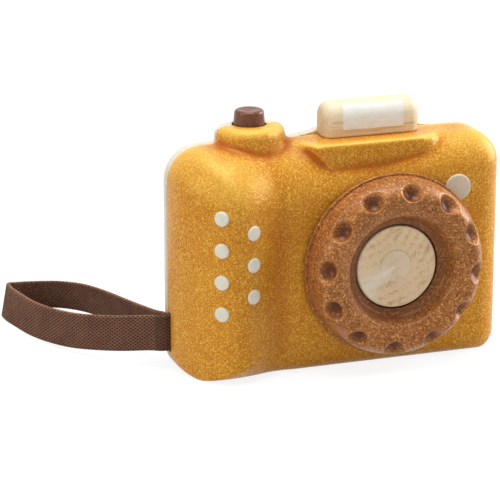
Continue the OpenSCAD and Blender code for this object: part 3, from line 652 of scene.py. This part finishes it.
def loaf():
    """The block: its long top edges are rounded first, then its ends, then the edges of its foot."""
    bm = bmesh.new()
    bmesh.ops.create_cube(bm, size=1)
    bmesh.ops.scale(bm, vec=(flash_wide, flash_deep, flash_high), verts=bm.verts)
    bmesh.ops.translate(bm, vec=(flash_x, flash_middle, flash_foot + flash_high / 2), verts=bm.verts)
    near = 0.01
    foot, left, right = flash_foot + near, flash_x - flash_wide / 2 + near, flash_x + flash_wide / 2 - near

    def beyond(edge, test):
        return all(test(vert.co) for vert in edge.verts)

    def sand(edges, radius, steps):
        bmesh.ops.bevel(bm, geom=edges, offset=radius, offset_type="OFFSET", affect="EDGES", segments=steps,
                        profile=0.5, material=-1)

    sand([e for e in bm.edges if beyond(e, lambda p: p.z > foot)
          and abs(e.verts[0].co.x - e.verts[1].co.x) > flash_deep], flash_round, 12)
    ends = [e for e in bm.edges if (beyond(e, lambda p: p.x < left) or beyond(e, lambda p: p.x > right))
            and not beyond(e, lambda p: p.z < foot)]
    sand(ends, flash_end, 8)
    base = [e for e in bm.edges if beyond(e, lambda p: p.z < foot) and len(e.link_faces) == 2
            and any(abs(f.normal.z) < 0.5 for f in e.link_faces)]
    sand(base, flash_edge, 4)
    bmesh.ops.recalc_face_normals(bm, faces=bm.faces)
    return bm


def maple(name, along, light, brown, half_long):
    """Pale hardwood, sanded: fine fibres and pores along one axis, in slow bands, and darker end grain."""
    wood = Shading(bpy.data.materials.new(name))
    here = wood.node("ShaderNodeTexCoord")["Object"]
    drawn = wood.node("ShaderNodeMapping", {}, {"Vector": here, "Scale": along})["Vector"]
    fibres, bands = wood.noise(drawn, 1, 5, 0.6), wood.noise(drawn, 0.14, 2)
    pores = wood.node("ShaderNodeTexVoronoi", {}, {"Vector": drawn, "Scale": 1.6})["Distance"]
    face = wood.mix((fibres - 0.42) * 2 + (bands - 0.5) * 1.4, light, brown)
    face = wood.mix((0.16 - pores) * 3, face, wood.mix(0.5, brown, colour(120, 86, 54)))
    from_middle = abs(wood.node("ShaderNodeSeparateXYZ", {}, {"Vector": here})["X"] / MM - flash_x)
    end_deep = 2
    face = wood.mix((from_middle - half_long + end_deep) * 0.3, face, brown)
    wood.surface({"Base Color": face, "Roughness": 0.5 + fibres * 0.15,
                  "Normal": wood.bump(fibres + pores * 0.5, 0.06, 0.3)})
    return wood


flash_wood = maple("pale_wood", (90, 1400, 1400), colour(236, 220, 188), colour(200, 174, 132),
                   flash_wide / 2)
set_piece("flash_loaf", loaf(), flash_wood, "camera_body", "pale_wood", "flash_block")

# Flash panel: a thin white-painted veneer, bent over the rounded front of the flash block and
# glued on it.
panel_wide, panel_foot, panel_drop, panel_thick = 22.9, 2.9, 1.2, 0.4
panel = loaf()
panel_cuts = (((flash_x - panel_wide / 2, 0, 0), (1, 0, 0)),
              ((flash_x + panel_wide / 2, 0, 0), (-1, 0, 0)),
              ((0, flash_middle, 0), (0, -1, 0)),
              ((0, 0, flash_foot + panel_foot), (0, 0, 1)),
              ((0, 0, flash_foot + flash_high - panel_drop), (0, 0, -1)))
for place, keep in panel_cuts:
    bmesh.ops.bisect_plane(panel, geom=panel.verts[:] + panel.edges[:] + panel.faces[:], dist=1e-4,
                           plane_co=place, plane_no=keep, clear_inner=True)
bmesh.ops.solidify(panel, geom=panel.faces[:], thickness=-panel_thick)
bmesh.ops.recalc_face_normals(panel, faces=panel.faces)
panel_paint = painted("panel_paint", colour(236, 233, 224), colour(214, 210, 200))
set_piece("flash_panel_inlay", panel, panel_paint, "camera_body", "white_paint", "flash_panel")

# Shutter button: a turned peg of dark brown fibre with a dished top and a rounded edge. It
# slides in a wooden guide on the seam, and a spring under its foot brings it back up.
button_wide, button_top, button_edge, button_dish, button_taper = 11.4, 92.7, 1.2, 0.5, 0.4
button_foot, foot_wide, foot_thick = 71.8, 14.2, 2.5
top_rim, dish = button_wide / 2 - button_taper, button_top - button_dish
button_stem = [(0, button_foot), (foot_wide / 2, button_foot), (foot_wide / 2, button_foot + foot_thick),
               (button_wide / 2, button_foot + foot_thick), (button_wide / 2, body_high + boss_high)]
button_crown = quarter((top_rim, button_top - button_edge), (top_rim - button_edge, button_top), 8)
button_face = [(top_rim - 2, button_top - 0.15), (1.2, dish), (0.55, dish), (0.3, dish - 0.25),
               (0, dish - 0.3)]
button = turned(button_stem + button_crown + button_face, (button_x, 0, 0))
chocolate = composite("chocolate_composite", colour(94, 48, 30), colour(60, 32, 22), colour(140, 88, 62),
                      colour(255, 214, 186), 0.45, 0.6, 0.22)
set_piece("shutter_button_peg", button, chocolate, "button", "brown_composite", "shutter_button")

# Lens ring: turned from brown fibre with a thin flange, a round shoulder with twelve scooped
# finger dimples, and a rounded recess round the lens. It turns on the lens disc's axle.
ring_back, ring_high, ring_wide, crest_wide, brow_drop = 0.9, 12.9, 67, 54, 1.6
rim_high, rim_step, rim_edge = 1.6, 0.9, 0.4
mouth_wide, recess_wide, web_thick, axle_hole = 42, 31.4, 2.7, 6.06
dimple_count, dimple_ball, dimple_deep, dimple_lift, ring_turn = 12, 4.2, 3.3, 66, -6
dimple_shade, lip_wide, recess_shade = 2.6, 0.7, 3.5
shoulder = quarter((ring_wide / 2 - rim_step, rim_high), (crest_wide / 2, ring_high), 48)
brow = [(crest_wide / 2 - (crest_wide - mouth_wide) / 2 * s, ring_high - brow_drop * s ** 2.2)
        for s in (k / 20 for k in range(1, 21))]
recess = smooth_line([Vector(point) for point in ((20.8, 1.7), (20.1, 2.6), (19.5, 4.2), (18.9, 5.9),
                                                  (17.6, 7.4), (15.8, 8.1))], 5)
ring_profile = ([(axle_hole, 0), (ring_wide / 2 - rim_edge, 0), (ring_wide / 2, rim_edge)]
                + quarter((ring_wide / 2, rim_high - rim_edge), (ring_wide / 2 - rim_edge, rim_high), 4)
                + shoulder + brow
                + [(point.x, ring_high - point.y) for point in recess]
                + [(recess_wide / 2, web_thick), (axle_hole, web_thick), (axle_hole, 0)])
ring = turned(ring_profile, steps=480)
round_out, round_up = ring_wide / 2 - rim_step - crest_wide / 2, ring_high - rim_high
lift = math.radians(dimple_lift)
dimple_lean = math.atan2(round_up * math.cos(lift), round_out * math.sin(lift))
dimple_seat = (crest_wide / 2 + round_out * math.cos(lift), rim_high + round_up * math.sin(lift))
# Marks for the brown finish: painted shade down the wall of the recess and in each dimple, and a faint
# painted highlight on the dimples' lips.
hollow = ring.verts.layers.float.new("hollow")
for vert in ring.verts:
    vert[hollow] = 0.55 * ease((mouth_wide / 2 - vert.co.xy.length) / recess_shade) * (vert.co.z > web_thick)
for k in range(dimple_count):
    turn = math.radians(90 + ring_turn) + 2 * math.pi * k / dimple_count
    out = Vector((math.cos(turn), math.sin(turn), 0))
    axis = out * math.sin(dimple_lean) + Vector((0, 0, math.cos(dimple_lean)))
    ball = out * dimple_seat[0] + Vector((0, 0, dimple_seat[1])) + axis * (dimple_ball - dimple_deep)
    lip = []
    for vert in ring.verts:
        gap = vert.co - ball
        if gap.length < dimple_ball and vert.co.z > rim_high:
            along = gap.dot(axis)
            vert[hollow] = (dimple_ball - gap.length) / dimple_shade
            vert.co -= axis * (along + math.sqrt(along ** 2 - gap.length_squared + dimple_ball ** 2))
        if abs(gap.length - dimple_ball) < lip_wide:
            vert[hollow] = -0.15
            lip.append(vert)
    soften(ring, lip, 6)
ring_place = (lens_x, -front_deep - ring_back, lens_z)
ring_seat = Matrix.Translation(ring_place) @ Matrix.Rotation(math.pi / 2, 4, "X")
bmesh.ops.transform(ring, matrix=ring_seat, verts=ring.verts)
brown = composite("brown_composite", colour(152, 88, 46), colour(78, 32, 14), colour(232, 168, 94),
                  colour(255, 200, 155), 0.6, 0.65, 0.08, 1)
set_piece("lens_ring_grip", ring, brown, "ring", "brown_composite", "lens_ring")

# Lens disc: a turned maple disc, dished to a flat middle, on an axle that is glued into the
# front shell. It holds the ring on, and end grain shows on its face.
disc_back, disc_thick, disc_wide, disc_edge, disc_flat, disc_dish = 3.8, 2.2, 30.2, 0.5, 11.5, 0.8
axle_wide, axle_long = 12, 14
disc_top, disc_floor = disc_back + disc_thick, disc_back + disc_thick - disc_dish
disc_axle = [(0, -axle_long), (axle_wide / 2, -axle_long), (axle_wide / 2, disc_back)]
disc_rim = quarter((disc_wide / 2, disc_top - disc_edge), (disc_wide / 2 - disc_edge, disc_top), 5)
disc_face = [(disc_wide / 2 - 0.9, disc_top - 0.02), (disc_flat / 2 + 0.5, disc_floor - 0.3),
             (disc_flat / 2 + 0.3, disc_floor - 0.25), (disc_flat / 2, disc_floor - 0.03),
             (disc_flat / 2 - 0.3, disc_floor), (0, disc_floor)]
disc = turned(disc_axle + [(disc_wide / 2, disc_back)] + disc_rim + disc_face,
              (lens_x, -front_deep, lens_z), (0, -1, 0), 128)
end_grain = Shading(bpy.data.materials.new("end_grain"))
here = end_grain.node("ShaderNodeTexCoord")["Object"]
centred = end_grain.node("ShaderNodeMapping", {"vector_type": "POINT"},
                         {"Vector": here, "Location": (-lens_x * MM, 0, -lens_z * MM)})["Vector"]
spot = end_grain.node("ShaderNodeSeparateXYZ", {}, {"Vector": centred})
radius = (spot["X"] * spot["X"] + spot["Z"] * spot["Z"]) ** 0.5
angle = radius.maths("ARCTAN2", spot["Z"], spot["X"])
fan = end_grain.node("ShaderNodeCombineXYZ", {}, {"X": angle * 6, "Y": radius * 1500})["Vector"]
rays, drift = end_grain.noise(fan, 1, 5, 0.65), end_grain.noise(here, 130, 3)
pith_x, pith_z, rim_light = -12 * MM, 20 * MM, 0.7
from_pith = ((spot["X"] - pith_x) ** 2 + (spot["Z"] - pith_z) ** 2) ** 0.5
years = (from_pith + drift * 0.004) * 1900
year = years.maths("SINE", years)
pores = end_grain.node("ShaderNodeTexVoronoi", {}, {"Vector": fan, "Scale": 0.9})["Distance"]
# A painted highlight: a bright wedge of sheen across the lower left of the disc's face.
painted_sheen_turn = angle + 2.6
painted_sheen = painted_sheen_turn.maths("COSINE", painted_sheen_turn)
painted_sheen = painted_sheen.maths("MAXIMUM", painted_sheen, 0) ** 14
# Painted light: the flat middle is painted lighter as a lit face, and a thin painted highlight runs round the
# rounded rim.
flat_middle, painted_rim_highlight = radius < disc_flat / 2 * MM, radius > (disc_wide / 2 - rim_light) * MM
figure = (rays - 0.47) * 2.8 + (drift - 0.5) * 1.8 + year * 0.2
face = end_grain.mix(figure, colour(248, 220, 176), colour(204, 158, 106))
face = end_grain.mix(flat_middle * 0.55, face, colour(244, 226, 200))
face = end_grain.mix((0.2 - pores) * 3, face, colour(158, 118, 76))
face = end_grain.mix(painted_sheen * 0.75, face, colour(255, 246, 224))
face = end_grain.mix(painted_rim_highlight * 0.5, face, colour(236, 222, 194))
end_grain.surface({"Base Color": face, "Roughness": 0.45 + rays * 0.2,
                   "Normal": end_grain.bump(rays + pores, 0.06, 0.3)})
set_piece("lens_disc", disc, end_grain, "camera_body", "pale_wood", "lens_peg")

# Eyepiece: a turned brown collar with a soft edge, glued by its peg into the back of the rear
# shell, and a pale disc let into it as the place to look through.
eye_wide, eye_proud, eye_dish, eye_z, eye_peg, eye_peg_wide = 18, 3, 0.8, 60, 3.6, 8
eye_disc_wide, eye_disc_thick, eye_disc_edge, eye_disc_dish = 10, 1.2, 0.3, 0.2
eye_edge, eye_sunk, mouth_round, mouth_drop = 1.2, 0.1, 1, 0.6
eye_place, eye_floor = (lens_x, rear_deep, eye_z), eye_proud - eye_dish - eye_disc_thick
well = eye_disc_wide / 2 + 0.05
eye_stem = [(0, -eye_peg), (eye_peg_wide / 2, -eye_peg), (eye_peg_wide / 2, -eye_sunk),
            (eye_wide / 2, -eye_sunk)]
eye_rim = quarter((eye_wide / 2, eye_proud - eye_edge), (eye_wide / 2 - eye_edge, eye_proud), 6)
eye_mouth = quarter((eye_disc_wide / 2 + mouth_round, eye_proud), (well, eye_proud - mouth_drop), 4, True)
eyepiece = turned(eye_stem + eye_rim + eye_mouth + [(well, eye_floor), (0, eye_floor)],
                  eye_place, (0, 1, 0), 96)
set_piece("eyepiece_collar", eyepiece, brown, "camera_body", "brown_composite", "eyepiece")
eye_face = eye_floor + eye_disc_thick
eye_disc_rim = quarter((eye_disc_wide / 2, eye_face - eye_disc_edge),
                       (eye_disc_wide / 2 - eye_disc_edge, eye_face), 4)
eye_disc = turned([(0, eye_floor), (eye_disc_wide / 2, eye_floor)] + eye_disc_rim
                  + [(0, eye_face - eye_disc_dish)], eye_place, (0, 1, 0), 96)
set_piece("eyepiece_window", eye_disc, dot_paint, "camera_body", "white_paint", "eyepiece_disc")

# Inside: dowels, guide bush, spring seat and strap pin of turned maple, a felt washer behind the
# ring, and the button's spring of drawn steel wire. They stay as the solids they are.
peg_wood = maple("peg_wood", (1300, 1300, 120), colour(226, 206, 168), colour(200, 168, 122), body_wide)
felt = Shading(bpy.data.materials.new("grey_felt"))
here = felt.node("ShaderNodeTexCoord")["Object"]
hair = felt.noise(here, 2400, 4)
felt_face = felt.mix((hair - 0.3) * 2, colour(54, 50, 48), colour(96, 90, 86))
felt.surface({"Base Color": felt_face, "Roughness": 0.85 + hair * 0.1, "Normal": felt.bump(hair, 0.15, 0.6)})
steel = Shading(bpy.data.materials.new("spring_steel"))
here = steel.node("ShaderNodeTexCoord")["Object"]
drawn = steel.noise(here, 900, 3)
steel_face = steel.mix((drawn - 0.3) * 1.5, colour(150, 150, 154), colour(196, 196, 198))
steel.surface({"Base Color": steel_face, "Metallic": 1.0, "Roughness": 0.25 + drawn * 0.2})
wooden = ("shell_dowels", "flash_dowels", "button_guide", "spring_seat", "strap_pin")
for names, shading in ((wooden, peg_wood), (("friction_washer",), felt), (("button_spring",), steel)):
    for name in names:
        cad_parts[name].data.materials.clear()
        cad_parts[name].data.materials.append(shading.owner)
